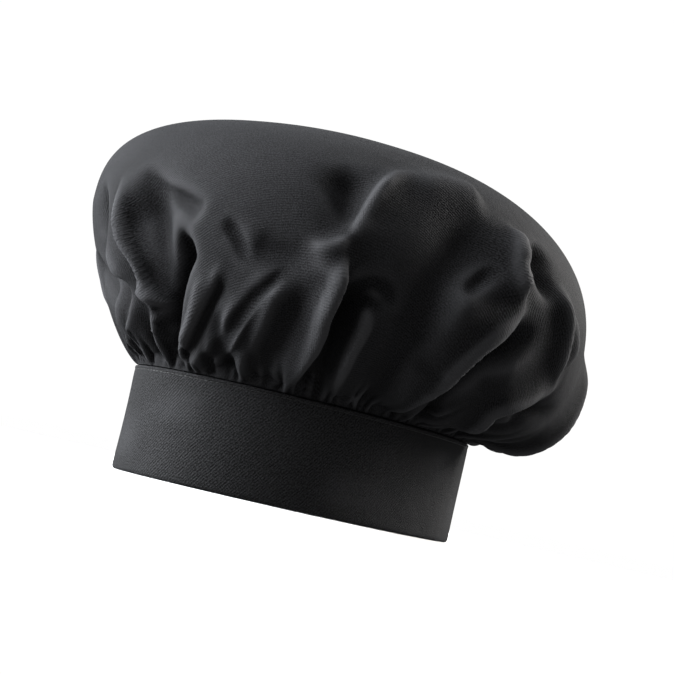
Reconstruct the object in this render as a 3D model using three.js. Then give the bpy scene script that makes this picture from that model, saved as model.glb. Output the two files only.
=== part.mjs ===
// Gathered chef's hat: a puffed one-piece crown of black cotton twill, gathered into a plain folded band.
// Millimetres, +Z up. The wearer's face is towards -Y, and the band stands on its lower fold at Z = 0.

import * as THREE from "three";

// Band: one strip folded lengthways, with its two plies open at the top
const BAND_LENGTH = 206; // outside, front to back
const BAND_WIDTH = 162; // outside, side to side
const BAND_HEIGHT = 54;
const BAND_PLY = 1.0;
const FOLD_EASE = 0.3; // how much the lower fold is rounded off

// Seam: the crown's gathered edge held between the band's plies
const SEAT_DEPTH = 8;
const SEAT_CLEARANCE = 0.3;
const PLY_TAPER = 6; // below the seat, the length in which the plies close up
const SEAM_LIFT = 2.0; // the crown rises this much before it spreads over the band
const SEAM_EASE = 0.06; // share of the crown's meridian in which the folds are pressed flat into the seam

// Crown
const CROWN_WALL = 1.0;
const CROWN_RISE = 143; // above the band's top edge
const CROWN_OVERHANG = 50; // past the seam, where it puffs out most
const CROWN_SAG = 14; // how far the cloth drops under its own weight where it hangs over the band
const FOLD_DEPTH = 10; // a full fold, out of the smooth surface
const GATHER_DEPTH = 0.9; // the small pleats along the seam, to either side
const GATHER_SHARE = 0.1; // share of the meridian that the small pleats run up

// Fineness of the meshes
const BAND_SIDES = 72;
const CROWN_SIDES = 144; // two for each small pleat
const MERIDIAN_STEPS = 80;
const CROWN_ROWS = [0.13, 0.27, 0.4, 0.51, 0.6, 0.68, 0.75, 0.81, 0.86, 0.905, 0.945, 0.975, 1];

// Crown outline, a row for each direction, with azimuth in degrees from +X towards +Y.
// overhang is a share of CROWN_OVERHANG, and belly is the height where it lies, as a share of CROWN_RISE.
// top and under say how full the meridian is above and below the belly: 2 is an ellipse, more is squarer.
// sag is a share of CROWN_SAG.
const OUTLINE = [
  { azimuth: 0, overhang: 1.16, belly: 0.42, top: 2.05, under: 1.9, sag: 0.5 },
  { azimuth: 45, overhang: 1.02, belly: 0.36, top: 2.0, under: 2.3, sag: 1 },
  { azimuth: 90, overhang: 0.69, belly: 0.42, top: 2.1, under: 2.0, sag: 0.6 },
  { azimuth: 135, overhang: 0.9, belly: 0.48, top: 2.25, under: 1.7, sag: 0.2 },
  { azimuth: 180, overhang: 1.12, belly: 0.54, top: 2.5, under: 1.6, sag: 0 },
  { azimuth: 225, overhang: 1.08, belly: 0.57, top: 2.8, under: 1.5, sag: 0 },
  { azimuth: 270, overhang: 0.66, belly: 0.52, top: 2.45, under: 1.6, sag: 0 },
  { azimuth: 315, overhang: 0.92, belly: 0.46, top: 2.2, under: 1.75, sag: 0 },
];

// Main folds, a row for each, ridges with a positive height and valleys with a negative one.
// foot and head are the azimuths of its two ends, from and to the shares of the meridian where they lie,
// counted from the crown's centre, width its half width in degrees, and height a share of FOLD_DEPTH.
const FOLDS = [
  { foot: 262, head: 238, from: 1, to: 0.54, width: 3.2, height: 0.75 },
  { foot: 267, head: 256, from: 1, to: 0.6, width: 5, height: -0.6 },
  { foot: 269, head: 278, from: 1, to: 0.74, width: 3.2, height: -0.8 },
  { foot: 272, head: 284, from: 1, to: 0.79, width: 3, height: 0.4 },
  { foot: 277, head: 288, from: 1, to: 0.82, width: 3, height: -0.45 },
  { foot: 280, head: 292, from: 1, to: 0.85, width: 3, height: 0.35 },
  { foot: 283, head: 288, from: 1, to: 0.88, width: 3, height: -0.5 },
  { foot: 286, head: 300, from: 1, to: 0.78, width: 2.8, height: 0.45 },
  { foot: 290, head: 303, from: 1, to: 0.78, width: 3, height: -0.5 },
  { foot: 294, head: 304, from: 1, to: 0.8, width: 2.8, height: 0.35 },
  { foot: 299, head: 309, from: 1, to: 0.73, width: 3.6, height: -0.55 },
  { foot: 306, head: 314, from: 1, to: 0.69, width: 3.6, height: 0.75 },
  { foot: 314, head: 318, from: 1, to: 0.75, width: 3.6, height: -0.8 },
  { foot: 321, head: 321, from: 1, to: 0.78, width: 3.8, height: 0.65 },
  { foot: 331, head: 344, from: 1, to: 0.53, width: 5.5, height: -0.65 },
  { foot: 340, head: 347, from: 1, to: 0.59, width: 5.5, height: 0.45 },
  { foot: 352, head: 368, from: 1, to: 0.67, width: 4.5, height: -1 },
  { foot: 359, head: 375, from: 1, to: 0.64, width: 4.5, height: 0.5 },
  { foot: 364, head: 361, from: 0.76, to: 0.4, width: 4.5, height: 0.4 },
  { foot: 371, head: 369, from: 0.74, to: 0.46, width: 5, height: -0.35 },
  { foot: 15, head: 40, from: 1, to: 0.76, width: 4, height: 0.45 },
  { foot: 25, head: 44, from: 1, to: 0.78, width: 4.5, height: -0.75 },
  { foot: 313, head: 312, from: 0.7, to: 0.57, width: 3.5, height: -0.35 },
  { foot: 314, head: 320, from: 0.7, to: 0.5, width: 3.5, height: 0.25 },
  { foot: 36, head: 48, from: 1, to: 0.66, width: 5, height: 0.5 },
  { foot: 47, head: 58, from: 1, to: 0.72, width: 4, height: -0.7 },
  { foot: 56, head: 64, from: 1, to: 0.8, width: 3.5, height: 0.45 },
  { foot: 64, head: 78, from: 1, to: 0.62, width: 4.5, height: -0.65 },
  { foot: 75, head: 84, from: 1, to: 0.7, width: 4.5, height: 0.55 },
  { foot: 85, head: 93, from: 1, to: 0.76, width: 3.5, height: -0.6 },
  { foot: 93, head: 104, from: 1, to: 0.6, width: 4.5, height: 0.6 },
  { foot: 103, head: 110, from: 1, to: 0.72, width: 4, height: -0.75 },
  { foot: 112, head: 114, from: 1, to: 0.8, width: 3.5, height: 0.4 },
  { foot: 120, head: 124, from: 1, to: 0.64, width: 4.5, height: -0.6 },
  { foot: 130, head: 130, from: 1, to: 0.7, width: 4.5, height: 0.6 },
  { foot: 141, head: 138, from: 1, to: 0.74, width: 4, height: -0.7 },
  { foot: 151, head: 150, from: 1, to: 0.66, width: 4.5, height: 0.45 },
  { foot: 161, head: 156, from: 1, to: 0.6, width: 4.5, height: -0.7 },
  { foot: 171, head: 168, from: 1, to: 0.74, width: 4, height: 0.5 },
  { foot: 180, head: 174, from: 1, to: 0.7, width: 4, height: -0.65 },
  { foot: 190, head: 186, from: 1, to: 0.62, width: 4.5, height: 0.55 },
  { foot: 201, head: 196, from: 1, to: 0.72, width: 4, height: -0.7 },
  { foot: 212, head: 208, from: 1, to: 0.6, width: 4.5, height: 0.45 },
  { foot: 223, head: 216, from: 1, to: 0.7, width: 4, height: -0.6 },
  { foot: 236, head: 226, from: 1, to: 0.62, width: 4.5, height: 0.5 },
  { foot: 249, head: 232, from: 1, to: 0.66, width: 4, height: -0.6 },
];

const { clamp, degToRad, smoothstep } = THREE.MathUtils;

// A smooth curve through the outline's rows, all the way round
function outlineAt(azimuth) {
  const step = 360 / OUTLINE.length;
  const place = (((azimuth % 360) + 360) % 360) / step;
  const first = Math.floor(place);
  const part = place - first;
  const row = (offset) => OUTLINE[(first + offset + OUTLINE.length) % OUTLINE.length];
  const through = (column) => {
    const [a, b, c, d] = [row(-1), row(0), row(1), row(2)].map((r) => r[column]);
    const slope = c - a;
    const bend = 2 * a - 5 * b + 4 * c - d;
    const twist = 3 * b - a - 3 * c + d;
    return (2 * b + part * (slope + part * (bend + part * twist))) / 2;
  };
  return {
    overhang: through("overhang") * CROWN_OVERHANG,
    belly: through("belly") * CROWN_RISE,
    top: through("top"),
    under: through("under"),
    sag: through("sag") * CROWN_SAG,
  };
}

// Radius of an oval with the band's outline, moved inwards by an inset
function ovalRadius(azimuth, inset) {
  const sideways = BAND_WIDTH / 2 - inset;
  const lengthways = BAND_LENGTH / 2 - inset;
  const angle = degToRad(azimuth);
  return (sideways * lengthways) / Math.hypot(lengthways * Math.cos(angle), sideways * Math.sin(angle));
}

// One meridian of the smooth crown, from its centre to the seam, as points spaced evenly along it
function meridian(azimuth) {
  const { overhang, belly, top, under, sag } = outlineAt(azimuth);
  const seam = ovalRadius(azimuth, BAND_PLY + SEAT_CLEARANCE);
  const widest = seam + overhang;
  const points = [];
  for (let i = 0; i <= MERIDIAN_STEPS; i++) {
    const angle = (Math.PI / 2) * (i / MERIDIAN_STEPS);
    const radius = widest * Math.sin(angle) ** (2 / top);
    const height = belly + (CROWN_RISE - belly) * Math.max(Math.cos(angle), 0) ** (2 / top);
    points.push(new THREE.Vector3(radius, 0, BAND_HEIGHT + height));
  }
  for (let i = 1; i <= MERIDIAN_STEPS; i++) {
    const angle = (Math.PI / 2) * (i / MERIDIAN_STEPS);
    const radius = seam + overhang * Math.max(Math.cos(angle), 0) ** (2 / under);
    const drop = sag * Math.sin(2 * angle) ** 2;
    const height = SEAM_LIFT + (belly - SEAM_LIFT) * (1 - Math.sin(angle) ** (2 / under)) - drop;
    points.push(new THREE.Vector3(radius, 0, BAND_HEIGHT + height));
  }
  const path = new THREE.CurvePath();
  for (let i = 1; i < points.length; i++) {
    path.add(new THREE.LineCurve3(points[i - 1], points[i]));
  }
  return path;
}

// How far the main folds lift the cloth off the smooth surface
function foldHeight(azimuth, share) {
  let height = 0;
  for (const fold of FOLDS) {
    const along = (fold.from - share) / (fold.from - fold.to);
    const centre = fold.foot + (fold.head - fold.foot) * clamp(along, 0, 1);
    const turn = ((azimuth - centre + 540) % 360) - 180;
    const across = Math.exp(-((turn / fold.width) ** 2));
    const start = fold.from === 1 ? 1 : smoothstep(along, -0.1, 0.25);
    const end = 1 - smoothstep(along, 0.55, 1.15);
    height += fold.height * across * start * end;
  }
  return height * FOLD_DEPTH * (1 - smoothstep(share, 1 - SEAM_EASE, 1));
}

// The small pleats, each one side of the mesh out and one in, strongest close above the seam
function gatherHeight(side, share) {
  const rise = smoothstep(share, 1 - GATHER_SHARE, 1 - GATHER_SHARE / 3);
  const seam = share === 1 ? 0 : 1;
  return (side % 2 ? -1 : 1) * GATHER_DEPTH * rise * seam;
}

// Rows of points over the crown's outer face: its centre first, then a closed ring for each row
function crownFace() {
  const up = new THREE.Vector3(0, 0, 1);
  const smooth = [];
  for (let side = 0; side < CROWN_SIDES; side++) {
    const azimuth = (360 * side) / CROWN_SIDES;
    const path = meridian(azimuth);
    smooth.push(CROWN_ROWS.map((share) => path.getPointAt(share).applyAxisAngle(up, degToRad(azimuth))));
  }
  const centre = new THREE.Vector3(0, 0, BAND_HEIGHT + CROWN_RISE);
  const rings = CROWN_ROWS.map((_, row) => smooth.map((points) => points[row]));
  const normals = ringNormals(centre, rings);
  return {
    centre,
    rings: rings.map((ring, row) =>
      ring.map((point, side) => {
        const azimuth = (360 * side) / CROWN_SIDES;
        const height = foldHeight(azimuth, CROWN_ROWS[row]) + gatherHeight(side, CROWN_ROWS[row]);
        return point.clone().addScaledVector(normals[row][side], height);
      }),
    ),
  };
}

// Outward normal at each point of a stack of rings below a centre point
function ringNormals(centre, rings) {
  return rings.map((ring, row) =>
    ring.map((point, side) => {
      const above = row === 0 ? centre : rings[row - 1][side];
      const below = row === rings.length - 1 ? point : rings[row + 1][side];
      const before = ring[(side + ring.length - 1) % ring.length];
      const after = ring[(side + 1) % ring.length];
      const down = below.clone().sub(above);
      const round = after.clone().sub(before);
      return down.cross(round).normalize();
    }),
  );
}

// Triangles between rings that follow one another, and from the last back to the first if they loop
function ringTriangles(rings, loop) {
  const sides = rings[0].length;
  const index = [];
  for (let row = 0; row < (loop ? rings.length : rings.length - 1); row++) {
    const nextRow = (row + 1) % rings.length;
    for (let side = 0; side < sides; side++) {
      const nextSide = (side + 1) % sides;
      const a = row * sides + side;
      const b = row * sides + nextSide;
      const c = nextRow * sides + side;
      const d = nextRow * sides + nextSide;
      index.push(a, c, b, b, c, d);
    }
  }
  return index;
}

// Triangles that close the first and the last ring, each round a centre point that follows the rings
function capTriangles(rings) {
  const sides = rings[0].length;
  const points = rings.length * sides;
  const lastRing = points - sides;
  const index = [];
  for (let side = 0; side < sides; side++) {
    const nextSide = (side + 1) % sides;
    index.push(points, side, nextSide);
    index.push(points + 1, lastRing + nextSide, lastRing + side);
  }
  return index;
}

function surface(points, index) {
  const geometry = new THREE.BufferGeometry().setFromPoints(points);
  geometry.setIndex(index);
  geometry.computeVertexNormals();
  return geometry;
}

// A ring of points on the band's oval
function ovalRing(inset, z, sides) {
  return Array.from({ length: sides }, (_, side) => {
    const azimuth = (360 * side) / sides;
    const radius = ovalRadius(azimuth, inset);
    const turn = degToRad(azimuth);
    return new THREE.Vector3(radius * Math.cos(turn), radius * Math.sin(turn), z);
  });
}

// The crown: its outer face, the edge in the band's seat, and its inner face back to the centre
function crownGeometry() {
  const { centre, rings } = crownFace();
  const normals = ringNormals(centre, rings);
  const inner = rings.map((ring, row) =>
    ring.map((point, side) => point.clone().addScaledVector(normals[row][side], -CROWN_WALL)),
  );
  const outerInset = BAND_PLY + SEAT_CLEARANCE;
  const innerInset = outerInset + CROWN_WALL;
  const edge = BAND_HEIGHT - SEAT_DEPTH + SEAT_CLEARANCE;
  rings[rings.length - 1] = ovalRing(outerInset, BAND_HEIGHT + SEAM_LIFT, CROWN_SIDES);
  inner[inner.length - 1] = ovalRing(innerInset, BAND_HEIGHT + SEAM_LIFT + CROWN_WALL, CROWN_SIDES);
  const seat = [ovalRing(outerInset, edge, CROWN_SIDES), ovalRing(innerInset, edge, CROWN_SIDES)];
  const innerCentre = new THREE.Vector3(0, 0, centre.z - CROWN_WALL);
  const walls = [...rings, ...seat, ...inner.reverse()];
  const index = [...ringTriangles(walls, false), ...capTriangles(walls)];
  return surface([...walls.flat(), centre, innerCentre], index);
}

// The band's section, from its outer face round the lower fold to its inner face and into the seat
function bandSection() {
  const slot = CROWN_WALL + 2 * SEAT_CLEARANCE;
  const seatFloor = BAND_HEIGHT - SEAT_DEPTH;
  return [
    { inset: 0, z: FOLD_EASE },
    { inset: FOLD_EASE, z: 0 },
    { inset: 2 * BAND_PLY - FOLD_EASE, z: 0 },
    { inset: 2 * BAND_PLY, z: FOLD_EASE },
    { inset: 2 * BAND_PLY, z: seatFloor - PLY_TAPER },
    { inset: 2 * BAND_PLY + slot, z: seatFloor },
    { inset: 2 * BAND_PLY + slot, z: BAND_HEIGHT },
    { inset: BAND_PLY + slot, z: BAND_HEIGHT },
    { inset: BAND_PLY + slot, z: seatFloor },
    { inset: BAND_PLY, z: seatFloor },
    { inset: BAND_PLY, z: BAND_HEIGHT },
    { inset: 0, z: BAND_HEIGHT },
  ];
}

function bandGeometry() {
  const rings = bandSection().map(({ inset, z }) => ovalRing(inset, z, BAND_SIDES));
  return surface(rings.flat(), ringTriangles(rings, true));
}

const crownCloth = new THREE.MeshStandardMaterial({ color: 0x1c1c1f, roughness: 0.86, metalness: 0 });
const bandCloth = new THREE.MeshStandardMaterial({ color: 0x1f1f22, roughness: 0.82, metalness: 0 });

const hat = new THREE.Group();

const crown = new THREE.Mesh(crownGeometry(), crownCloth);
crown.name = "crown";
hat.add(crown);

const band = new THREE.Mesh(bandGeometry(), bandCloth);
band.name = "band";
hat.add(band);

// The origin is the middle of the whole hat's outline on the surface that it stands on
const middle = new THREE.Box3().setFromObject(hat).getCenter(new THREE.Vector3());
for (const piece of hat.children) {
  piece.position.set(-middle.x, -middle.y, 0);
}

export default hat;
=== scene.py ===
"""Gathered chef's hat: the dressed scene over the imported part.

A puffed round crown of black cotton twill, gathered into a plain doubled band.
Sizes are millimetres in the hat's own frame, whose origin is the middle of the band at the rim,
with X across the hat, Y along it and Z up. to_frame() turns them into metres in the part's frame.
"""
import math

import bmesh
import bpy
import numpy as np
from mathutils import Matrix, Vector


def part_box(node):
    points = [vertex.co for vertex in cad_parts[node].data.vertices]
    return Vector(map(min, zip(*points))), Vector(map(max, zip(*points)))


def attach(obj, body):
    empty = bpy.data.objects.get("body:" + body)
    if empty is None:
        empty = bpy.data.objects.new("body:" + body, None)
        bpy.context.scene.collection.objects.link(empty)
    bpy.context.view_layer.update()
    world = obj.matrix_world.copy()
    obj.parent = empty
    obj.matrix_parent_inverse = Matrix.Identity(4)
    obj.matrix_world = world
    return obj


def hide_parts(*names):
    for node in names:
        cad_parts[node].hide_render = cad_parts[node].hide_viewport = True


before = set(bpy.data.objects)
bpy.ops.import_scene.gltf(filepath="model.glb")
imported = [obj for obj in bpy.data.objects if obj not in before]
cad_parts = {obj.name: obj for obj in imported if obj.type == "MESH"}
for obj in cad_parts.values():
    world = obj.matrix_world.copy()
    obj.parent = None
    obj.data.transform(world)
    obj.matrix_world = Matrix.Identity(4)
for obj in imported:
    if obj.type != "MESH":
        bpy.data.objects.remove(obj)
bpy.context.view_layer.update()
MM = 0.001
SCENE = bpy.context.scene
BAND_LOW, BAND_HIGH = (np.array(corner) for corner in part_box("band"))
ORIGIN = np.array([*(BAND_LOW + BAND_HIGH)[:2] / 2, BAND_LOW[2]])
BAND_WIDTH, BAND_LENGTH, BAND_HEIGHT = (BAND_HIGH - BAND_LOW) / MM


def to_frame(points):
    """Millimetres in the hat's frame, as metres in the part's frame."""
    return np.asarray(points, float) * MM + ORIGIN


# Camera: at the photograph's bearing, distance and roll, just above the surface the hat stands on.
CAMERA_BEARING, CAMERA_ROLL = math.radians(42.09), math.radians(12.94)
CAMERA_HEIGHT, CAMERA_DISTANCE, CAMERA_SIDE, AIM_HEIGHT = 16.0, 925.5, 7.8, 94.5
FOCAL_PIXELS, IMAGE_PIXELS, SENSOR = 1721.6, 674, 36.0
SIDEWAYS = Vector((math.cos(CAMERA_BEARING), math.sin(CAMERA_BEARING), 0))
TOWARDS = Vector((math.sin(CAMERA_BEARING), -math.cos(CAMERA_BEARING), 0))
eye = TOWARDS * CAMERA_DISTANCE + SIDEWAYS * CAMERA_SIDE + Vector((0, 0, CAMERA_HEIGHT))
aim = SIDEWAYS * CAMERA_SIDE + Vector((0, 0, AIM_HEIGHT))
forward = (aim - eye).normalized()
level = forward.cross(Vector((0, 0, 1))).normalized()
upright = level.cross(forward)
right = level * math.cos(CAMERA_ROLL) + upright * math.sin(CAMERA_ROLL)
up = upright * math.cos(CAMERA_ROLL) - level * math.sin(CAMERA_ROLL)
camera = bpy.data.objects.new("camera", bpy.data.cameras.new("camera"))
SCENE.collection.objects.link(camera)
SCENE.camera = camera
SCENE.view_settings.view_transform = "Standard"
pose = Matrix((right, up, -forward)).transposed().to_4x4()
pose.translation = to_frame(eye)
camera.matrix_world = pose
camera.data.sensor_width = SENSOR
camera.data.lens = SENSOR * FOCAL_PIXELS / IMAGE_PIXELS
camera.data.clip_start = 0.01


# Node helpers for the procedural materials.
def new_material(name):
    material = bpy.data.materials.new(name)
    material.use_nodes = True
    material.node_tree.nodes.clear()
    return material, material.node_tree


def node(tree, kind, settings=(), **inputs):
    """A shader node, with properties from settings and sockets from inputs (a value or an output)."""
    made = tree.nodes.new(kind)
    for key, value in dict(settings).items():
        setattr(made, key, value)
    for key, value in inputs.items():
        name = key.replace("_", " ")
        socket = made.inputs[int(key[1:])] if key[0] == "i" and key[1:].isdigit() else made.inputs[name]
        if isinstance(value, bpy.types.NodeSocket):
            tree.links.new(value, socket)
        else:
            socket.default_value = value
    return made


def math_node(tree, operation, *values, clamp=False):
    made = node(tree, "ShaderNodeMath", {"operation": operation, "use_clamp": clamp})
    for socket, value in zip(made.inputs, values):
        if isinstance(value, bpy.types.NodeSocket):
            tree.links.new(value, socket)
        else:
            socket.default_value = value
    return made.outputs[0]


def ramp(tree, source, start, end, low=0.0, high=1.0):
    """Source mapped smoothly from the range start..end to low..high."""
    made = node(tree, "ShaderNodeMapRange", {"interpolation_type": "SMOOTHSTEP"})
    tree.links.new(source, made.inputs["Value"])
    for name, value in (("From Min", start), ("From Max", end), ("To Min", low), ("To Max", high)):
        made.inputs[name].default_value = value
    return made.outputs["Result"]


def noise(tree, place, scale, **inputs):
    return node(tree, "ShaderNodeTexNoise", Vector=place, Scale=scale, **inputs).outputs["Fac"]


def mix_colour(tree, factor, a, b):
    made = tree.nodes.new("ShaderNodeMix")
    made.data_type = "RGBA"
    for socket, value in ((made.inputs[0], factor), (made.inputs[6], a), (made.inputs[7], b)):
        if isinstance(value, bpy.types.NodeSocket):
            tree.links.new(value, socket)
        else:
            socket.default_value = value
    return made.outputs[2]


def grey(value, blue=1.0):
    return (value, value, value * blue, 1.0)


# Floor: a plain pale studio surface, lit like paper near the hat and fading to white far from it.
FLOOR_RADIUS, FLOOR_GAP = 12.0, 0.0002
bm = bmesh.new()
bmesh.ops.create_circle(bm, cap_ends=True, segments=96, radius=FLOOR_RADIUS)
floor_mesh = bpy.data.meshes.new("floor")
bm.to_mesh(floor_mesh)
bm.free()
floor = bpy.data.objects.new("floor", floor_mesh)
floor_mesh.transform(Matrix.Translation(Vector((*ORIGIN[:2], ORIGIN[2] - FLOOR_GAP))))
SCENE.collection.objects.link(floor)
paper, tree = new_material("floor_paper")
place = node(tree, "ShaderNodeTexCoord").outputs["Object"]
away = node(tree, "ShaderNodeVectorMath", {"operation": "LENGTH"}, i0=place).outputs["Value"]
matt = node(tree, "ShaderNodeBsdfDiffuse", Color=grey(0.86))
glow = node(tree, "ShaderNodeEmission", Color=grey(1.0), Strength=1.0)
fade = node(tree, "ShaderNodeMixShader", i0=ramp(tree, away, 0.25, 0.9), i1=matt.outputs[0],
            i2=glow.outputs[0])
node(tree, "ShaderNodeOutputMaterial", Surface=fade.outputs[0])
floor_mesh.materials.append(paper)
floor.visible_diffuse = floor.visible_glossy = False

# Light: a white room, a strong soft box low on the left, and weak ones high on the left and the right.
world = bpy.data.worlds.new("studio")
SCENE.world = world
world.use_nodes = True
world.node_tree.nodes.clear()
ROOM_LIGHT, ROOM_WHITE = 0.34, 1.02
tree = world.node_tree
seen = node(tree, "ShaderNodeLightPath").outputs["Is Camera Ray"]
strength = math_node(tree, "MULTIPLY_ADD", seen, ROOM_WHITE - ROOM_LIGHT, ROOM_LIGHT)
backdrop = node(tree, "ShaderNodeBackground", Color=grey(1.0), Strength=strength)
node(tree, "ShaderNodeOutputWorld", Surface=backdrop.outputs[0])
# name, millimetres right, towards the camera and up, size (m), power (W), colour
LIGHTS = [
    ("key_left", -1100, 60, 230, 1.1, 76, (0.94, 0.97, 1.0)),
    ("top", -680, 120, 1000, 0.9, 18, (0.94, 0.97, 1.0)),
    ("fill_right", 900, -420, 640, 0.5, 28, (1.0, 0.98, 0.95)),
]
for name, across, nearer, height, size, power, colour in LIGHTS:
    lamp = bpy.data.lights.new(name, "AREA")
    lamp.size, lamp.energy, lamp.color = size, power, colour
    box = bpy.data.objects.new(name, lamp)
    spot = SIDEWAYS * across + TOWARDS * nearer + Vector((0, 0, height))
    box.location = to_frame(spot)
    box.rotation_euler = (Vector((0, 0, 100)) - spot).to_track_quat("-Z", "Y").to_euler()
    SCENE.collection.objects.link(box)


# Cloth: black cotton twill. The map named "cut" holds the place on the flat cloth in metres,
# so that threads run straight on the cut piece; "ridge" is 1 on fold edges, 0 in hollows, and sets where
# the colour is paler: partly rubbed wear, partly a painted highlight along the fold edges.
TWILL_PITCH, THREAD_PITCH = 0.0013, 0.0008


def cloth_material(name, dark, light, turn):
    """Twill whose diagonal is turned by an angle in degrees on the flat cloth."""
    material, tree = new_material(name)
    cut = node(tree, "ShaderNodeUVMap", {"uv_map": "cut"}).outputs[0]
    spot = node(tree, "ShaderNodeTexCoord").outputs["Object"]
    laid = node(tree, "ShaderNodeMapping", Vector=cut, Rotation=(0, 0, math.radians(turn))).outputs[0]
    wobble = node(tree, "ShaderNodeTexNoise", Vector=laid, Scale=160.0, Detail=2.0).outputs["Color"]
    bent = node(tree, "ShaderNodeVectorMath", {"operation": "MULTIPLY_ADD"}, i0=wobble,
                i1=(0.0014, 0.0014, 0), i2=laid).outputs[0]
    axes = node(tree, "ShaderNodeSeparateXYZ", Vector=bent)
    along, across = axes.outputs[0], axes.outputs[1]
    diagonal = math_node(tree, "SINE", math_node(tree, "MULTIPLY", along, math.tau / TWILL_PITCH))
    threads = math_node(tree, "SINE", math_node(tree, "MULTIPLY", across, math.tau / THREAD_PITCH))
    weave = math_node(tree, "MULTIPLY_ADD", threads, 0.35, diagonal)
    fuzz = noise(tree, cut, 1150.0, Detail=2.0, Roughness=0.7)
    drawn = node(tree, "ShaderNodeMapping", Vector=laid, Scale=(1.0, 0.08, 1.0)).outputs[0]
    slub = noise(tree, drawn, 900.0, Detail=2.0)
    cloudy = noise(tree, spot, 16.0, Detail=4.0, Roughness=0.6)
    crumple = noise(tree, spot, 85.0, Detail=3.0, Distortion=0.4)
    ridge_wear_and_highlight = node(tree, "ShaderNodeAttribute", {"attribute_name": "ridge"}).outputs["Fac"]
    # Colour: dyed black, faded unevenly, paler on the fold edges (partly rubbed wear, partly a painted
    # highlight along the crests), with pale lint caught in the weave.
    shade = math_node(tree, "MULTIPLY_ADD", ramp(tree, cloudy, 0.3, 0.7), 0.15,
                      math_node(tree, "MULTIPLY_ADD", ramp(tree, fuzz, 0.39, 0.61), 0.65,
                                math_node(tree, "MULTIPLY_ADD", diagonal, 0.14, 0.08)), clamp=True)
    base = mix_colour(tree, shade, dark, light)
    # painted highlight, partly rubbed wear: the fold edges are lightened towards a pale bluish grey
    rub_and_highlight = math_node(tree, "MULTIPLY", ridge_wear_and_highlight, 0.75, clamp=True)
    rubbed_and_highlit = mix_colour(tree, rub_and_highlight, base, grey(0.055, 1.06))
    lint_seed = noise(tree, cut, 520.0, Detail=1.0)
    flecked = mix_colour(tree, ramp(tree, lint_seed, 0.76, 0.82, 0.0, 0.15), rubbed_and_highlit, grey(0.15))
    # Relief: twill ribs, thread fuzz and a fine all-over rumple.
    ribs = node(tree, "ShaderNodeBump", Strength=0.45, Distance=0.00012, Height=weave)
    hairs = math_node(tree, "MULTIPLY_ADD", slub, 0.25, fuzz)
    nap = node(tree, "ShaderNodeBump", Strength=0.9, Distance=0.0004, Height=hairs, Normal=ribs.outputs[0])
    soft = node(tree, "ShaderNodeBump", Strength=0.35, Distance=0.0016, Height=crumple,
                Normal=nap.outputs[0])
    surface = node(tree, "ShaderNodeBsdfPrincipled", Base_Color=flecked, Roughness=0.78,
                   Normal=soft.outputs[0])
    surface.inputs["Specular IOR Level"].default_value = 0.05
    surface.inputs["Sheen Weight"].default_value = 0.02
    surface.inputs["Sheen Roughness"].default_value = 0.4
    surface.inputs["Sheen Tint"].default_value = (0.9, 0.93, 1.0, 1.0)
    node(tree, "ShaderNodeOutputMaterial", Surface=surface.outputs[0])
    return material


crown_cloth = cloth_material("crown_cloth", grey(0.003), grey(0.024, 1.08), 45)
band_cloth = cloth_material("band_cloth", grey(0.004), grey(0.034, 1.05), -38)


def new_piece(name, points, faces, material):
    """A mesh object from points in millimetres, riding on the part's one body."""
    mesh = bpy.data.meshes.new(name)
    mesh.from_pydata([tuple(p) for p in to_frame(points)], [], faces)
    mesh.polygons.foreach_set("use_smooth", [True] * len(mesh.polygons))
    mesh.materials.append(material)
    mesh.update()
    piece = bpy.data.objects.new(name, mesh)
    SCENE.collection.objects.link(piece)
    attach(piece, "root")
    return piece


def oval_radius(azimuth, inset):
    """Distance from the middle to an oval inside the band's outside, at azimuths in degrees."""
    a, b, turn = BAND_WIDTH / 2 - inset, BAND_LENGTH / 2 - inset, np.radians(azimuth)
    return a * b / np.hypot(b * np.cos(turn), a * np.sin(turn))


def ring_faces(around, rows, first=0, closed=False):
    """Quads between rows of points that go round the hat, the last row joined to the first if closed."""
    faces = []
    for row in range(rows if closed else rows - 1):
        low, high = first + row * around, first + (row + 1) % rows * around
        for k in range(around):
            after = (k + 1) % around
            faces.append((low + k, low + after, high + after, high + k))
    return faces


def between(a, b, c, d, f):
    """The Catmull-Rom value at the share f of the way from b to c, with a before and d after them."""
    return (2 * b + f * ((c - a) + f * ((2 * a - 5 * b + 4 * c - d) + f * (3 * b - a - 3 * c + d)))) / 2


def smooth_path(path, steps):
    """Points of a table's row of columns, joined by a Catmull-Rom curve with so many steps each."""
    path = np.asarray(path, float)
    ends = np.vstack([2 * path[0] - path[1], path, 2 * path[-1] - path[-2]])
    curve = []
    for a, b, c, d in zip(ends, ends[1:], ends[2:], ends[3:]):
        curve += [between(a, b, c, d, f) for f in np.arange(steps) / steps]
    return np.array([*curve, path[-1]])


def waver(azimuth, rng, count, strength):
    """A smooth uneven line round the hat: a few sine waves about count to the turn."""
    turn = np.radians(azimuth)
    rates = (0.45, 0.8, 1.0, 1.4, 1.9)
    waves = [np.sin(round(count * rate) * turn + rng.uniform(0, math.tau)) for rate in rates]
    return strength * sum(waves) / 2.0


# Band: one strip of twill folded double along the rim, its turned-in top edges holding the crown,
# with a narrow welt and one row of stitching just below the top. It is pressed flat and stands up.
BAND_AROUND, PRESSED_IN = 360, 0.25
band_rng = np.random.default_rng(11)
azimuth = np.arange(BAND_AROUND) * 360 / BAND_AROUND
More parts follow.
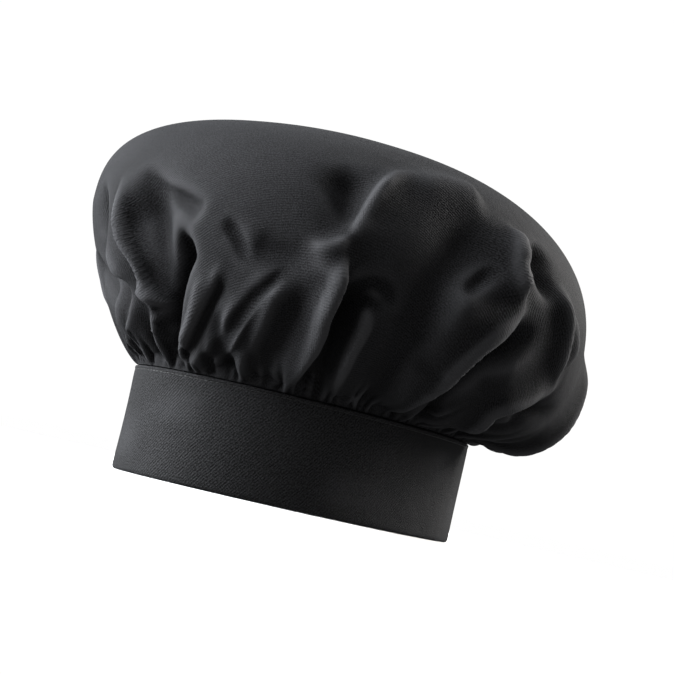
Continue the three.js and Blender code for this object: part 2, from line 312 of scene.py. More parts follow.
# inset from the outside and height, mm, from the slot up over the outer ply, round the rim, and back
BAND_PROFILE = [
    (1.25, 46.0), (1.2, 50.0), (1.1, 53.3), (0.85, 53.85), (0.4, 54.0), (0.02, 53.75), (-0.12, 53.2),
    (-0.1, 52.7), (0.18, 52.35), (0.3, 52.1), (0.14, 51.7), (0.02, 51.0), (0.0, 48.0), (0.0, 42.0),
    (0.0, 34.0), (0.0, 26.0), (0.0, 18.0), (0.0, 10.0), (0.0, 5.0), (0.0, 2.6), (0.04, 1.3),
    (0.3, 0.45), (0.8, 0.08), (1.3, 0.0), (1.8, 0.12), (2.2, 0.6), (2.35, 1.6), (2.3, 4.0),
    (2.3, 14.0), (2.3, 26.0), (2.4, 38.0), (2.9, 46.0), (3.2, 51.0), (3.25, 53.2), (3.0, 53.8),
    (2.6, 53.9), (2.35, 53.4), (2.3, 50.0), (2.25, 46.0),
]
band_points = []
lay = [waver(azimuth, band_rng, count, 0.35) for count in (3, 5, 8)]
edge = waver(azimuth, band_rng, 12, 0.12)
for inset, height in BAND_PROFILE:
    share = height / BAND_HEIGHT
    bulge = lay[0] * math.sin(math.pi * share) + lay[1] * math.sin(math.tau * share) * 0.5
    bulge = bulge + lay[2] * (1 - share) * 0.35
    radius = oval_radius(azimuth, inset) - PRESSED_IN + bulge * min(1.0, max(0.0, (53 - height) / 12))
    tall = height + (edge - edge.min()) * (1 - share) * (height > 0.2)
    turn = np.radians(azimuth)
    tall = np.broadcast_to(tall, turn.shape)
    band_points.append(np.stack([radius * np.cos(turn), radius * np.sin(turn), tall], -1))
band_points = np.array(band_points)
band = new_piece("band_cloth_strip", band_points.reshape(-1, 3),
                 ring_faces(BAND_AROUND, len(BAND_PROFILE)), band_cloth)


def lay_cut(mesh, corners):
    """Writes the flat place, in metres, of every face corner into the map named cut."""
    mesh.uv_layers.new(name="cut").data.foreach_set("uv", (np.asarray(corners, float) * MM).ravel())


def mark_ridges(mesh, reach, strength):
    """Writes 1 where the cloth bends outwards and 0 elsewhere: each point's height over those around."""
    count = len(mesh.vertices)
    points, normals = np.empty(count * 3), np.empty(count * 3)
    mesh.vertices.foreach_get("co", points)
    mesh.vertices.foreach_get("normal", normals)
    points, normals = points.reshape(-1, 3) / MM, normals.reshape(-1, 3)
    ends = np.empty(len(mesh.edges) * 2, int)
    mesh.edges.foreach_get("vertices", ends)
    a, b = ends.reshape(-1, 2).T
    degree = np.maximum(np.bincount(np.r_[a, b], minlength=count), 1)[:, None]

    def neighbours(field):
        total = np.zeros_like(field)
        np.add.at(total, a, field[b])
        np.add.at(total, b, field[a])
        return total / degree

    around = points
    for _ in range(reach):
        around = neighbours(around)
    height = ((points - around) * normals).sum(-1, keepdims=True)
    height = neighbours(height)[:, 0]
    # the ridge attribute sets where the cloth colour gets its painted highlight and rubbed wear
    ridge = mesh.attributes.new("ridge", "FLOAT", "POINT")
    ridge.data.foreach_set("value", np.clip(height * strength, 0, 1))


# the strip's length is measured along this row of the profile, just under the welt
MEASURED_ROW = 10
edge_line = band_points[MEASURED_ROW]
arc = np.r_[0, np.cumsum(np.linalg.norm(np.roll(edge_line, -1, 0) - edge_line, axis=-1))]
drop = np.r_[0, np.cumsum(np.linalg.norm(np.diff(band_points[:, 0], axis=0), axis=-1))]
corners = [((start, high), (end, high), (end, low), (start, low))
           for high, low in zip(drop, drop[1:]) for start, end in zip(arc, arc[1:])]
lay_cut(band.data, corners)
mark_ridges(band.data, 2, 6.0)
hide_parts("band")

# Band stitching: one row of lockstitch in matching black thread, 1.9 mm below the top of the band,
# which closes the band over the gathered edge of the crown.
STITCH_LENGTH, STITCH_GAP, THREAD_RADIUS, STITCH_HEIGHT, STITCH_INSET = 2.5, 0.5, 0.17, 52.1, 0.12
STITCH_SHAPE = [(-0.5, 0.25), (-0.42, 0.8), (-0.2, 1.0), (0.2, 1.0), (0.42, 0.8), (0.5, 0.25)]
STITCH_SIDES = 6
fine = np.arange(0, 360, 0.25)
radius, turn = oval_radius(fine, STITCH_INSET) - PRESSED_IN, np.radians(fine)
path = np.stack([radius * np.cos(turn), radius * np.sin(turn), np.full(fine.shape, STITCH_HEIGHT)], -1)
length = np.r_[0, np.cumsum(np.linalg.norm(np.roll(path, -1, 0) - path, axis=-1))]
stitch_count = round(length[-1] / (STITCH_LENGTH + STITCH_GAP))
stitch_points, stitch_faces = [], []
for stitch in range(stitch_count):
    middle = (stitch + 0.5) / stitch_count * length[-1]
    tilt = band_rng.normal() * 0.03
    for share, girth in STITCH_SHAPE:
        at = middle + share * STITCH_LENGTH
        x, y = (np.interp(at, length, np.r_[path[:, axis], path[0, axis]]) for axis in (0, 1))
        out = np.array([x, y]) / math.hypot(x, y)
        for side in range(STITCH_SIDES):
            angle = math.tau * side / STITCH_SIDES
            push = THREAD_RADIUS * girth * math.cos(angle) - 0.1 * (2 * share) ** 4
            lift = THREAD_RADIUS * girth * math.sin(angle) + share * tilt * STITCH_LENGTH
            stitch_points.append((x + out[0] * push, y + out[1] * push, STITCH_HEIGHT + lift))
    first = stitch * len(STITCH_SHAPE) * STITCH_SIDES
    stitch_faces += ring_faces(STITCH_SIDES, len(STITCH_SHAPE), first)
    last = first + (len(STITCH_SHAPE) - 1) * STITCH_SIDES
    stitch_faces.append(tuple(first + side for side in reversed(range(STITCH_SIDES))))
    stitch_faces.append(tuple(last + side for side in range(STITCH_SIDES)))
thread, tree = new_material("sewing_thread")
shine = node(tree, "ShaderNodeBsdfPrincipled", Base_Color=grey(0.014), Roughness=0.5)
node(tree, "ShaderNodeOutputMaterial", Surface=shine.outputs[0])
stitches = new_piece("band_stitches", stitch_points, stitch_faces, thread)


# Crown: one round piece of twill about 0.53 m across, gathered along its edge into the band. It is
# puffed at the middle, sinks between the pinched folds and hangs over the band, lowest at the right.
OVERHANG, SAG, RISE, SEAM_HEIGHT, SEAM_INSET = 50.0, 14.0, 143.0, 54.6, 1.5
# overhang, belly height, fullness above and below, and sag, as shares, every 45 degrees round the hat
OUTLINE = np.array([
    (1.16, 0.42, 2.25, 1.75, 0.25), (1.02, 0.38, 2.3, 1.95, 0.35), (0.69, 0.42, 2.2, 2.0, 0.4),
    (0.9, 0.48, 2.25, 1.7, 0.2), (1.12, 0.54, 2.5, 1.6, 0.0), (0.94, 0.57, 2.7, 1.35, 0.0),
    (0.66, 0.52, 2.45, 1.6, 0.0), (0.92, 0.46, 2.3, 1.75, 0.0),
])
CROWN_AROUND, CROWN_ROWS = 300, 76


def outline_at(azimuth):
    """The outline table's columns at any azimuths, on smooth closed curves."""
    count = len(OUTLINE)
    place = np.asarray(azimuth) % 360 * count / 360
    row = np.floor(place).astype(int)
    f = (place - row)[:, None]
    a, b, c, d = (OUTLINE[(row + k) % count] for k in (-1, 0, 1, 2))
    return between(a, b, c, d, f)


def smooth_crown(azimuth, shares):
    """Points of the crown without folds, and each meridian's length; shares run from top to seam."""
    overhang, belly, above, below, sag = outline_at(azimuth).T[:, :, None]
    overhang, belly, sag = overhang * OVERHANG, belly * RISE, sag * SAG
    seam = oval_radius(azimuth, SEAM_INSET)[:, None]
    low = SEAM_HEIGHT - BAND_HEIGHT
    t = np.linspace(0, math.pi / 2, 200)[None]
    cosine, sine = np.clip(np.cos(t), 0, 1), np.sin(t)
    upper = (seam + overhang) * sine ** (2 / above), belly + (RISE - belly) * cosine ** (2 / above)
    hanging = low + (belly - low) * (1 - sine ** (2 / below)) - sag * np.sin(2 * t) ** 2
    lower = seam + overhang * cosine ** (2 / below), hanging
    radius, height = (np.concatenate([top, bottom[:, 1:]], 1) for top, bottom in zip(upper, lower))
    points, lengths = [], []
    for r, z, angle in zip(radius, height + BAND_HEIGHT, np.radians(azimuth)):
        run = np.r_[0, np.cumsum(np.hypot(np.diff(r), np.diff(z)))]
        r, z = np.interp(shares * run[-1], run, r), np.interp(shares * run[-1], run, z)
        points.append(np.stack([r * math.cos(angle), r * math.sin(angle), z], -1))
        lengths.append(run[-1])
    return np.array(points), np.array(lengths)


azimuth = np.arange(CROWN_AROUND) * 360 / CROWN_AROUND
even = np.arange(1, CROWN_ROWS + 1) / CROWN_ROWS
shares = even * (1 + 0.5 * (1 - even))
smooth, lengths = smooth_crown(azimuth, shares)


def on_grid(field, rows, azimuth, share):
    """A field of a grid round the crown, at azimuths in degrees and shares of the way to the seam."""
    count = len(field)
    k = np.asarray(azimuth) % 360 * count / 360
    j = np.interp(share, rows, np.arange(len(rows)))
    k0, j0 = np.floor(k).astype(int), np.minimum(np.floor(j).astype(int), len(rows) - 2)
    turn, fall = (k - k0)[:, None], (j - j0)[:, None]
    a, b = k0 % count, (k0 + 1) % count
    upper = field[a, j0] * (1 - turn) + field[b, j0] * turn
    lower = field[a, j0 + 1] * (1 - turn) + field[b, j0 + 1] * turn
    return upper * (1 - fall) + lower * fall


def outward(grid):
    """Unit normals of a grid of points round the crown."""
    normals = np.cross(np.gradient(grid, axis=1), np.roll(grid, -1, 0) - np.roll(grid, 1, 0))
    return normals / (np.linalg.norm(normals, axis=-1, keepdims=True) + 1e-9)


# Folds, ridges above 0 and hollows below. Sharpness (1.2 pinched to 2 rounded), width in mm to the
# left and right, lean to the right as a share of height, then azimuth, share and height in mm.
FOLDS = [
    (1.2, 4.5, 12, -0.6, (266, 1, 2.2), (269.3, 0.94, 5.4), (270.8, 0.885, 10.3), (270.8, 0.832, 13.5),
     (268.8, 0.78, 14.6), (265.5, 0.73, 13.5), (261.5, 0.677, 11.9), (257, 0.632, 9.2),
     (252, 0.597, 5.4)),
    (1.4, 7, 5, 0, (261.5, 0.915, -6.2), (258, 0.857, -11.2), (252.5, 0.795, -13.8),
     (248, 0.735, -13.8), (245, 0.667, -11.2), (242, 0.607, -7.5)),
    (1.8, 13, 9, 0, (267.5, 0.99, -3.4), (272.5, 0.897, -9.2), (273, 0.827, -13.8),
     (271.5, 0.75, -14.9), (268.5, 0.682, -14.9), (264.5, 0.635, -11.5), (259.5, 0.59, -5.8)),
    (1.4, 8, 4, 0, (282.5, 0.662, -2), (278, 0.65, -3.5), (270, 0.63, -2.5)),
    (1.8, 5, 5.5, 0, (269.5, 1, -5), (274.5, 0.935, -11), (275.5, 0.88, -15), (276.5, 0.815, -17),
     (277.5, 0.765, -18), (279, 0.73, -17), (281.5, 0.705, -9)),
    (1.4, 4, 5, 0, (271.5, 1, 2), (280, 0.91, 4), (283, 0.847, 5), (284, 0.802, 4), (285, 0.757, 2)),
    (1.5, 3.5, 3.5, 0, (274, 1, -3), (281, 0.92, -6), (287, 0.815, -6), (290.5, 0.76, -3)),
    (1.4, 3.5, 4, 0, (276, 1, 2), (285, 0.927, 5), (290.5, 0.852, 5), (293, 0.785, 2)),
    (1.5, 3, 3, 0, (282, 0.99, -3), (287, 0.915, -5), (289.5, 0.825, -3)),
    (1.3, 6, 3, 0.4, (284, 0.99, 3), (291, 0.905, 6), (295, 0.832, 6), (298.5, 0.762, 5),
     (301.5, 0.707, 3)),
    (1.2, 2.5, 2.5, 0, (288.5, 0.935, -5), (295, 0.825, -5), (298.5, 0.765, -4), (303, 0.717, -2.5)),
    (1.6, 6, 6, 0, (292, 0.99, 3), (298, 0.867, 5), (301, 0.78, 5), (303, 0.727, 2)),
    (1.6, 7, 8, 0, (296, 0.98, -3), (301, 0.897, -4.8), (305, 0.795, -4.8), (308.5, 0.727, -3.6),
     (310.5, 0.687, -1.8)),
    (1.2, 9, 5, 0.5, (304, 1, 5), (308.5, 0.895, 9), (310, 0.787, 12), (310.5, 0.73, 13),
     (312, 0.69, 11), (315, 0.647, 6)),
    (1.3, 3, 7, 0, (304, 0.67, 2), (308.5, 0.662, 4), (312, 0.647, 5), (315, 0.645, 4)),
    (1.6, 6, 9, 0, (314, 1, -7), (314, 0.9, -13), (314, 0.787, -15), (316, 0.73, -13),
     (317.5, 0.69, -6)),
    (1.4, 4, 4, 0, (316, 0.727, -3), (318.5, 0.705, -5), (322.5, 0.7, -5), (326.5, 0.732, -2)),
    (1.4, 4, 6, 0, (322, 1, 4), (319.5, 0.932, 7), (319.5, 0.84, 8), (320.5, 0.767, 8), (320, 0.727, 5)),
    (1.7, 12, 12, 0, (331, 1, -6), (329.5, 0.862, -9), (331.5, 0.765, -11), (333.5, 0.655, -10),
     (339.5, 0.54, -7), (346, 0.47, -3)),
    (1.7, 13, 13, 0, (342, 1, 3), (333, 0.83, 7), (335, 0.757, 9), (338.5, 0.662, 10), (344, 0.562, 5)),
    (1.2, 2.5, 2.5, 0, (337.5, 0.662, -1), (341, 0.63, -2.5), (344, 0.597, -1)),
    (1.4, 6, 7, 0, (354, 0.99, -8), (350.5, 0.927, -12), (346.5, 0.817, -16), (353.5, 0.717, -15),
     (2, 0.65, -5)),
    (1.2, 7, 3, 0.5, (344, 0.942, 3), (341, 0.832, 6), (341.5, 0.77, 8), (347.5, 0.692, 8),
     (358, 0.632, 5)),
    (1.5, 7, 8, 0, (2, 1, 3), (349.5, 0.882, 6), (350, 0.79, 8), (356.5, 0.74, 8), (4, 0.672, 5)),
    (1.2, 9, 4, 0.7, (356, 0.645, 3), (352, 0.64, 6), (348.5, 0.62, 8), (347.5, 0.572, 9),
     (349.5, 0.527, 8), (353, 0.46, 4)),
    (1.6, 5, 9, 0, (3, 0.62, -5), (0, 0.547, -7), (1.5, 0.492, -4)),
    (1.5, 6, 6, 0, (20, 1, -6), (15.5, 0.92, -10), (15, 0.842, -11), (32.5, 0.78, -6)),
    (1.3, 5, 5, 0, (12, 0.99, 3), (3, 0.89, 6), (0, 0.83, 7), (10, 0.78, 6), (21, 0.74, 3)),
    (1.8, 6, 6, 0, (3.5, 0.54, 2), (7.5, 0.617, 3.5), (10, 0.69, 3.5), (14, 0.757, 2)),
    (1.8, 6, 6, 0, (6, 0.565, 2), (12.5, 0.64, 3), (19, 0.707, 2)),
    (1.4, 5, 9, -0.4, (264, 0.822, 3), (258.5, 0.787, 5), (254.5, 0.762, 6), (246.5, 0.732, 4),
     (239, 0.695, 1)),
    (1.6, 6, 6, 0, (255, 0.87, -6), (245.5, 0.83, -8), (234, 0.777, -7), (232.5, 0.737, -3)),
    (1.3, 4, 4, 0, (240, 1, 3), (250.5, 0.935, 5), (252.5, 0.877, 5), (248.5, 0.802, 3)),
    (1.3, 4, 4, 0, (246, 1, 3), (258.5, 0.912, 6), (263.5, 0.835, 4)),
    (1.8, 10, 10, 0, (315, 0.632, -3), (313, 0.58, -5), (311, 0.525, -5), (308, 0.462, -3)),
    (1.4, 6, 8, 0, (313, 0.662, 3), (315, 0.6, 5), (317, 0.537, 5), (321, 0.472, 4), (328, 0.425, 3)),
    (1.8, 12, 12, 0, (321, 0.477, 3), (331.5, 0.45, 4), (341, 0.432, 4), (347.5, 0.43, 3)),
    (1.6, 10, 10, 0, (309, 0.462, -1.8), (311.5, 0.522, -3), (311, 0.572, -3), (308.5, 0.597, -1.8)),
    (1.4, 3, 3, 0, (287, 0.66, -1), (291, 0.695, -2), (295, 0.74, -1)),
    (1.8, 8, 8, 0, (293, 0.697, -2), (300, 0.7, -3.5), (308.5, 0.685, -3)),
    (1.3, 3, 3, 0, (340.5, 0.975, 2), (340, 0.887, 4), (340.5, 0.827, 2)),
]
# Folds of the far side: azimuth at the seam and at the head, share at the head, width and height in mm
FAR_FOLDS = [
    (36, 46, 0.62, 8, 9), (45, 57, 0.66, 6, -12), (55, 63, 0.74, 5, 6), (63, 80, 0.46, 6, -12),
    (75, 86, 0.6, 7, 7), (84, 93, 0.72, 4, -9), (93, 107, 0.5, 8, 6), (101, 113, 0.6, 5, -14),
    (112, 114, 0.74, 5, 5), (119, 128, 0.47, 6, -11), (130, 128, 0.6, 7, 7), (139, 137, 0.68, 5, -13),
    (150, 145, 0.52, 7, 5), (160, 154, 0.44, 6, -12), (171, 171, 0.66, 5, 6), (181, 171, 0.52, 5, -13),
    (190, 186, 0.5, 8, 6), (200, 194, 0.66, 6, -13), (211, 208, 0.6, 8, 8), (221, 215, 0.68, 7, -11),
]
FOLDS += [
    (1.5, width, width, 0.3 if height > 0 else 0, (foot, 1, height * 0.4),
     (foot + (head - foot) * 0.3, 1 - (1 - top) * 0.35, height),
     (foot + (head - foot) * 0.8, 1 - (1 - top) * 0.7, height * 0.9), (head, top, height * 0.3))
    for foot, head, top, width, height in FAR_FOLDS
]


def pressed(fold, grid, out, rows, strength):
    """How far one fold moves every point of a grid with normals out, in mm."""
    sharpness, left, right, lean, *path = fold
    path = np.array(path, float)
    path[:, 0] = np.degrees(np.unwrap(np.radians(path[:, 0])))
    path = smooth_path(path, 9)
    along = np.linspace(0, 1, len(path))
    from_seam = path[0, 1] > 0.985
    eased = np.clip(np.minimum((1 - along) / 0.3, 1 if from_seam else along / 0.3), 0, 1)
    height = path[:, 2] * strength * eased * eased * (3 - 2 * eased)
    spread = 0.65 + 0.65 * along if from_seam else np.ones(len(path))
    line, facing = on_grid(grid, rows, path[:, 0], path[:, 1]), on_grid(out, rows, path[:, 0], path[:, 1])
    step = np.gradient(line, axis=0)
    sideways = np.cross(step, facing)
    sideways /= np.linalg.norm(sideways, axis=-1, keepdims=True) + 1e-9
    centre = line[len(line) // 2]
    reach = np.linalg.norm(line - centre, axis=-1).max() + 2.5 * max(left, right)
    moved = np.zeros_like(grid)
    near = np.linalg.norm(grid - centre, axis=-1) < reach
    gap = grid[near][:, None] - line[None]
    closest = (gap ** 2).sum(-1).argmin(1)
    gap = gap[np.arange(len(closest)), closest]
    # slip is how far the nearest place of the line lies from its closest point, in steps
    slip = np.clip((gap * step[closest]).sum(-1) / (step[closest] ** 2).sum(-1), -0.5, 0.5)
    gap = gap - slip[:, None] * step[closest]
    across = (gap * sideways[closest]).sum(-1)
    place = closest + slip
    point = np.arange(len(line))
    width = (left + (right - left) / (1 + np.exp(-across / 1.5))) * np.interp(place, point, spread)
    distance = np.linalg.norm(gap, axis=-1)
    profile = (np.interp(place, point, height) * np.exp(-(distance / width) ** sharpness))[:, None]
    moved[near] = profile * out[near] + np.abs(profile) * lean * sideways[closest]
    return moved


def softened(grid, passes):
    """A grid of vectors round the crown, each averaged with its neighbours."""
    for _ in range(passes):
        grid = (np.roll(grid, 1, 0) + 2 * grid + np.roll(grid, -1, 0)) / 4
        grid[:, 1:-1] = (grid[:, :-2] + 2 * grid[:, 1:-1] + grid[:, 2:]) / 4
    return grid


def calmed(relief, out, rows):
    """How much of the relief is left towards the seam: ridges run out early, hollows run into it."""
    rising = (relief * out).sum(-1, keepdims=True) > 0
    ridges, hollows = (np.interp(rows, CALM_AT, kept)[:, None] for kept in (CALM, DEEP))
    return np.where(rising, ridges, hollows)


crown_rng = np.random.default_rng(7)
normal = outward(smooth)
FOLD_STRENGTH = 1.08
CALM_AT, CALM, DEEP = (0, 0.8, 0.9, 0.96, 1.0), (1, 1, 0.65, 0.3, 0), (1, 1, 0.9, 0.7, 0)
relief = sum(pressed(fold, smooth, normal, shares, FOLD_STRENGTH) for fold in FOLDS)
relief *= calmed(relief, normal, shares)
shaped = smooth + relief
# Gathers: rows of small pleats at the seam that run out above it, ever finer and shorter.
seam_fade = np.clip((1 - shares) / 0.02, 0, 1)
for count, depth, reach in ((27, 3.2, 0.2), (54, 2.8, 0.12)):
    phase = count * np.radians(azimuth) + waver(azimuth, crown_rng, count / 4, 1.4)
    size = np.clip(1 + waver(azimuth, crown_rng, count / 3, 0.6), 0.25, 1.9)
    fade = np.clip(1 - (1 - shares)[None] / (reach * (0.6 + 0.5 * size[:, None])), 0, 1) ** 1.5
    push = depth * (0.8 * np.cos(phase) - 0.8) * size
    shaped += normal * (push[:, None] * fade * seam_fade[None])[..., None]

# The cloth before it is draped: the same meridians turned round one axis, with spare cloth in the
# round that grows from none on the dome to a sixth at the seam. The simulation takes it from
# there to the shaped folds, which hold it loosely, and lets it settle under its weight.
SPARE_AT, SPARE = (0, 0.5, 0.6, 0.7, 0.8, 0.9, 1.0), (0.98, 0.98, 0.99, 1.01, 1.04, 1.1, 1.16)
HOLD_AT, HOLD = (0, 0.4, 0.6, 0.8, 0.97, 0.99, 1.0), (0.62, 0.62, 0.62, 0.66, 0.7, 1, 1)
SETTLE_AT, SETTLE, CREASING = (0, 0.5, 0.66, 0.8, 1.0), (0.0, 0.1, 0.3, 0.55, 0.6), 0.15
SHAPED_BY, SETTLED_BY, BENDING = 10, 24, 3.0
girth = np.linalg.norm(np.roll(smooth, -1, 0) - smooth, axis=-1)
around = girth.sum(0)
flat_radius = lengths.mean()
cut_radius = np.minimum(around * np.interp(shares, SPARE_AT, SPARE), math.tau * shares * flat_radius)
cut_radius /= math.tau
cut_angle = math.tau * (np.cumsum(girth, 0) - girth) / around
cut_angle -= (cut_angle - np.radians(azimuth)[:, None]).mean(0)
run = np.diff(np.r_[0, shares])[None] * lengths[:, None]
fall = np.sqrt(np.clip(run**2 - np.diff(np.r_[0, cut_radius])[None] ** 2, 0, None))
cut = np.stack([cut_radius * np.cos(cut_angle), cut_radius * np.sin(cut_angle),
                BAND_HEIGHT + RISE - np.cumsum(fall, 1)], -1)


def with_top(grid):
    """The crown's points in order: the top one, then ring by ring down to the seam."""
    return np.vstack([[(0, 0, BAND_HEIGHT + RISE)], grid.transpose(1, 0, 2).reshape(-1, 3)])


def crown_faces(around, rows):
    """The faces of a crown whose points are in that order."""
    faces = [(0, 1 + k, 1 + (k + 1) % around) for k in range(around)]
    return faces + [face[::-1] for face in ring_faces(around, rows, 1)]


goal = with_top(shaped)
draped = goal
dummy = bpy.data.meshes.new("draping")
dummy.from_pydata([tuple(point) for point in to_frame(with_top(cut))], [],
                  crown_faces(CROWN_AROUND, CROWN_ROWS))
draper = bpy.data.objects.new("draping", dummy)
SCENE.collection.objects.link(draper)
draper.shape_key_add(name="Basis")
key = draper.shape_key_add(name="shaped")
key.data.foreach_set("co", to_frame(goal).ravel())
for value, when in ((0, 1), (1, SHAPED_BY)):
    key.value = value
    key.keyframe_insert("value", frame=when)
hold = draper.vertex_groups.new(name="hold")
for row, strength in enumerate(np.interp(shares, HOLD_AT, HOLD)):
    hold.add([1 + row * CROWN_AROUND + k for k in range(CROWN_AROUND)], float(strength), "REPLACE")
hold.add([0], HOLD[0], "REPLACE")
draping = draper.modifiers.new("draping", "CLOTH")
cloth = draping.settings
cloth.quality, cloth.mass, cloth.air_damping = 8, 0.0002, 2.0
cloth.tension_stiffness, cloth.compression_stiffness = 20, 5
cloth.shear_stiffness, cloth.bending_stiffness = 3, BENDING
cloth.tension_damping = cloth.compression_damping = cloth.shear_damping = 5
cloth.vertex_group_mass, cloth.pin_stiffness = "hold", 1.0
draping.collision_settings.use_collision = False
draping.point_cache.frame_end = SCENE.frame_end = SETTLED_BY
for when in range(1, SETTLED_BY + 1):
    SCENE.frame_set(when)
settled = draper.evaluated_get(bpy.context.evaluated_depsgraph_get()).data
draped = np.empty(len(settled.vertices) * 3)
settled.vertices.foreach_get("co", draped)
draped = (draped.reshape(-1, 3) - ORIGIN) / MM
settle = np.r_[SETTLE[0], np.repeat(np.interp(shares, SETTLE_AT, SETTLE), CROWN_AROUND)][:, None]
slack = draped - goal
rounds = slack[1:].reshape(CROWN_ROWS, CROWN_AROUND, 3).transpose(1, 0, 2)
slack[1:] = softened(rounds, 3).transpose(1, 0, 2).reshape(-1, 3)
draped = goal + slack * settle
SCENE.frame_set(1)
bpy.data.objects.remove(draper)


def finer(grid, rows, wrapped):
    """A grid resampled along its first axis at the given fractional rows, on Catmull-Rom curves."""
    count = len(grid)
    row = np.floor(rows).astype(int)
    f = (rows - row)[:, None, None]
    picks = (row + k for k in (-1, 0, 1, 2))
    a, b, c, d = (grid[pick % count if wrapped else np.clip(pick, 0, count - 1)] for pick in picks)
    return between(a, b, c, d, f)


# Fine pleats of the gathering thread, tight at the seam and gone about 20 mm above it.
PLEATS, PLEAT_DEPTH, PLEAT_REACH = 105, 3.4, 19.0
FINE_AROUND, FINE_ROWS = 600, 152
top = draped[0]
grid = draped[1:].reshape(CROWN_ROWS, CROWN_AROUND, 3) - (smooth + relief).transpose(1, 0, 2)
fine_rows = np.linspace(0, CROWN_ROWS - 1, FINE_ROWS)
grid = finer(grid, fine_rows, False)
grid = finer(grid.transpose(1, 0, 2), np.arange(FINE_AROUND) * CROWN_AROUND / FINE_AROUND, True)
bearing = (np.arange(FINE_AROUND) * 360 / FINE_AROUND)[:, None]
fine_share = np.interp(fine_rows, np.arange(CROWN_ROWS), shares)[None]
base, _ = smooth_crown(bearing[:, 0], fine_share[0])
normals = outward(base)
crisp = sum(pressed(fold, base, normals, fine_share[0], FOLD_STRENGTH) for fold in FOLDS)
crisp = softened(crisp, 1)
grid = grid + base + (1 + CREASING) * crisp * calmed(crisp, normals, fine_share[0])
above_seam = flat_radius * (1 - fine_share)
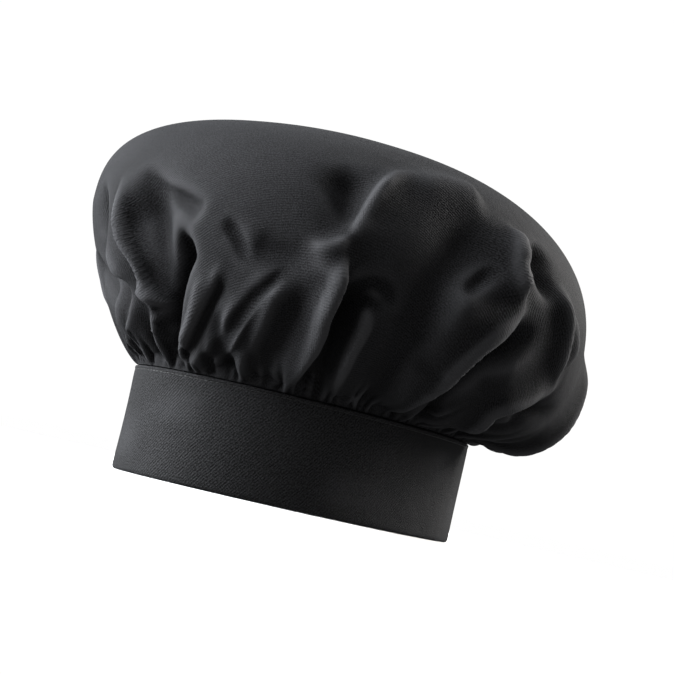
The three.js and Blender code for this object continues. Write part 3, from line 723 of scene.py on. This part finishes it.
# Creases pressed into the draped cloth: the thin sharp edges along the tops and feet of the main
# folds, in the columns of the folds' table.
CREASES = [
    (1.2, 2.4, 5, -0.5, (264.3, 0.968, 2.5), (272.5, 0.877, 4.9), (271, 0.832, 5.6), (268, 0.782, 5.6),
     (265, 0.73, 4.9), (261.5, 0.677, 4), (258.5, 0.635, 2.5)),
    (1.2, 5, 2.4, 0, (283, 0.662, -2.5), (276.5, 0.645, -3.6), (268.5, 0.622, -3.2),
     (260.5, 0.585, -1.6)),
    (1.2, 2.4, 2.4, 0, (288, 0.935, -3.2), (294, 0.822, -4), (298, 0.765, -3.6), (303, 0.712, -2.5)),
    (1.2, 4.5, 2.4, 0.5, (305.5, 0.942, 2.5), (309, 0.855, 4), (309.5, 0.78, 4.9), (310.5, 0.73, 4.9),
     (312, 0.69, 4), (314.5, 0.652, 2.5)),
    (1.2, 2.4, 2.4, 0, (337.5, 0.667, -2), (341, 0.63, -2.9), (344.5, 0.592, -2)),
    (1.2, 5, 2.4, 0.5, (341, 0.907, 2.5), (340.5, 0.83, 4), (342, 0.77, 4.9), (348.5, 0.692, 4.9),
     (356.5, 0.637, 2.5)),
    (1.2, 6, 2.4, 0.6, (351.5, 0.657, 2.5), (348.5, 0.62, 4.9), (348, 0.567, 4.9), (350, 0.525, 4.9),
     (348.5, 0.487, 2.5)),
    (1.2, 2.4, 2.4, 0, (319.5, 0.945, 2), (319.5, 0.84, 3.2), (320.5, 0.775, 3.6), (320, 0.732, 2)),
    (1.2, 2.4, 2.4, 0, (273, 0.975, 2), (281, 0.89, 3.2), (286.5, 0.795, 3.2), (289, 0.732, 1.6)),
    (1.2, 2.4, 2.4, 0, (287, 0.66, -1.2), (291, 0.695, -2.2), (295, 0.74, -1.2)),
    (1.2, 2.4, 4, 0, (263, 0.827, 2.5), (257, 0.792, 4), (252.5, 0.77, 4), (247.5, 0.73, 2.5)),
    (1.2, 2.4, 2.4, 0, (5.5, 0.575, 1.6), (9, 0.637, 3.2), (12, 0.707, 3.2), (17.5, 0.772, 1.6)),
    (1.2, 2.4, 2.4, 0, (10.5, 0.6, 1.6), (15.5, 0.657, 2.9), (20, 0.712, 1.6)),
    (1.2, 3, 3, 0, (313, 0.652, 1.6), (315, 0.592, 2.9), (318, 0.52, 2.5), (323.5, 0.46, 1.6)),
    (1.2, 2.4, 2.4, 0, (3.5, 0.95, 2.5), (2, 0.877, 4), (1.5, 0.825, 4), (12, 0.775, 2.5)),
    (1.4, 3, 6, 0, (259, 0.63, -1.9), (264, 0.677, -3.8), (267, 0.727, -4.4), (270.5, 0.78, -4.4),
     (273, 0.822, -3.8), (274.5, 0.867, -1.9)),
    (1.3, 2.5, 3, 0, (276, 0.685, -1.9), (277.5, 0.722, -3.1), (276.5, 0.792, -3.8),
     (275.5, 0.852, -3.1), (274.5, 0.912, -1.9)),
]
CREASES += [
    (1.1, 3, 3, 0, (foot, 0.985, 1.2 * way),
     (foot + (head - foot) * 0.4, 1 - (1 - top) * 0.4, 2.4 * way), (head, top + 0.04, 1.2 * way))
    for foot, head, top, width, height in FAR_FOLDS for way in (1 if height > 0 else -1,)
]
normals = outward(grid)
creased = sum(pressed(crease, grid, normals, fine_share[0], 1.0) for crease in CREASES)
grid = grid + softened(creased, 1)
normals = outward(grid)
phase = PLEATS * np.radians(bearing) + waver(bearing, crown_rng, 19, 2.2)
phase = phase + above_seam * 0.05 * waver(bearing, crown_rng, 7, 1.0)
size = np.clip(1 + waver(bearing, crown_rng, 31, 0.8), 0.15, 2.0)
fade = np.clip(1 - above_seam / (PLEAT_REACH * (0.45 + 0.55 * size)), 0, 1) ** 1.3
fade *= np.clip(above_seam / 1.5, 0, 1)
pleat = np.abs(np.sin(phase / 2)) ** 0.7 - 1
grid += normals * (PLEAT_DEPTH * pleat * size * fade)[..., None]

turn = np.radians(bearing)
corner = np.stack([np.cos(turn) * fine_share, np.sin(turn) * fine_share], -1) * flat_radius
flat = np.vstack([[(0, 0)], corner.transpose(1, 0, 2).reshape(-1, 2)])
faces = crown_faces(FINE_AROUND, FINE_ROWS)
crown = new_piece("crown_cloth_puff", np.vstack([[top], grid.transpose(1, 0, 2).reshape(-1, 3)]), faces,
                  crown_cloth)
lay_cut(crown.data, flat[np.concatenate([np.array(face) for face in faces])])
mark_ridges(crown.data, 3, 1.6)
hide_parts("crown")
